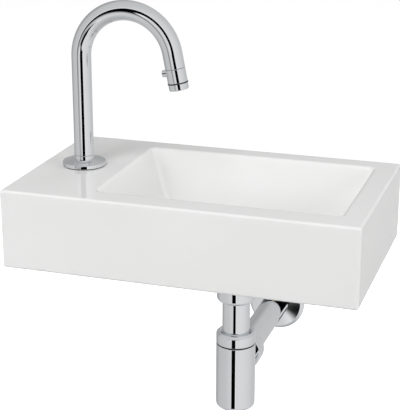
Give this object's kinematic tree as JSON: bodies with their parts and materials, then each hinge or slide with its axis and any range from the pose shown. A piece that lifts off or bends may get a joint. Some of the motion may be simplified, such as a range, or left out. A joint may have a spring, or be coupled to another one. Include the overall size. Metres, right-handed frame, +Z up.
{
  "type": "hand basin with tap",
  "caption": "Wall-hung rectangular white hand basin with a chrome gooseneck tap on its left deck and a chrome bottle trap below.",
  "frame": {"origin": "midway between the two wall studs, on the basin's back face, which lies on the wall", "axes": "+X to the right along the wall, +Y into the wall, +Z up"},
  "size_m": [0.4, 0.349, 0.4712],
  "materials": {
    "white_body": "gloss",
    "chrome": "polished",
    "brass": "turned",
    "steel": "zinc plated",
    "rubber": "matt",
    "white_plastic": "matt",
    "grey_plastic": "matt",
    "disc_ceramic": "lapped"
  },
  "bodies": {
    "basin": {"basin_body": "white_body", "body_seal": "rubber", "cap_seal": "rubber", "cap_slip_ring": "white_plastic", "clamp_gasket": "rubber", "clamp_washer": "steel", "coupling_nut": "chrome", "coupling_seal": "rubber", "deck_gasket": "rubber", "inlet_tube": "chrome", "outlet_nut": "chrome", "outlet_seal": "rubber", "outlet_slip_ring": "white_plastic", "outlet_tube": "chrome", "shank_nut": "brass", "stud_bushes": "white_plastic", "stud_nuts": "steel", "stud_washers": "steel", "swivel_bush": "grey_plastic", "swivel_clip": "white_plastic", "swivel_o_rings": "rubber", "tap_flange": "chrome", "tap_shank": "chrome", "trap_body": "chrome", "trap_cap": "chrome", "wall_studs": "steel", "waste_back_nut": "brass", "waste_body": "chrome", "waste_bottom_seal": "rubber", "waste_cover": "chrome", "waste_slip_washer": "white_plastic", "waste_top_seal": "rubber"},
    "spout": {"spout_neck": "chrome", "valve_insert": "brass", "insert_o_ring": "rubber", "ring_washer": "grey_plastic", "ring_clip": "steel", "disc_seal": "rubber", "fixed_disc": "disc_ceramic"},
    "outlet_valve": {"valve_ring": "chrome", "ring_knob": "chrome", "moving_disc": "disc_ceramic", "ring_seal": "rubber", "aerator_housing": "chrome", "aerator_insert": "white_plastic", "aerator_seal": "rubber"},
    "rosette": {"wall_rosette": "chrome"}
  },
  "joints": [
    {"name": "spout_swivel", "type": "hinge", "parent": "basin", "child": "spout", "pos_m": [-0.1495, -0.116, 0.0633], "axis": [0, 0, 1], "range_deg": [-50, 50]},
    {"name": "valve_turn", "type": "hinge", "parent": "spout", "child": "outlet_valve", "pos_m": [-0.0373, -0.116, 0.1719], "axis": [-0.1908, 0, 0.9816], "range_deg": [0, 90]},
    {"name": "rosette_slide", "type": "slide", "parent": "basin", "child": "rosette", "axis": [0, 1, 0], "range_m": [-0.1, 0]}
  ]
}
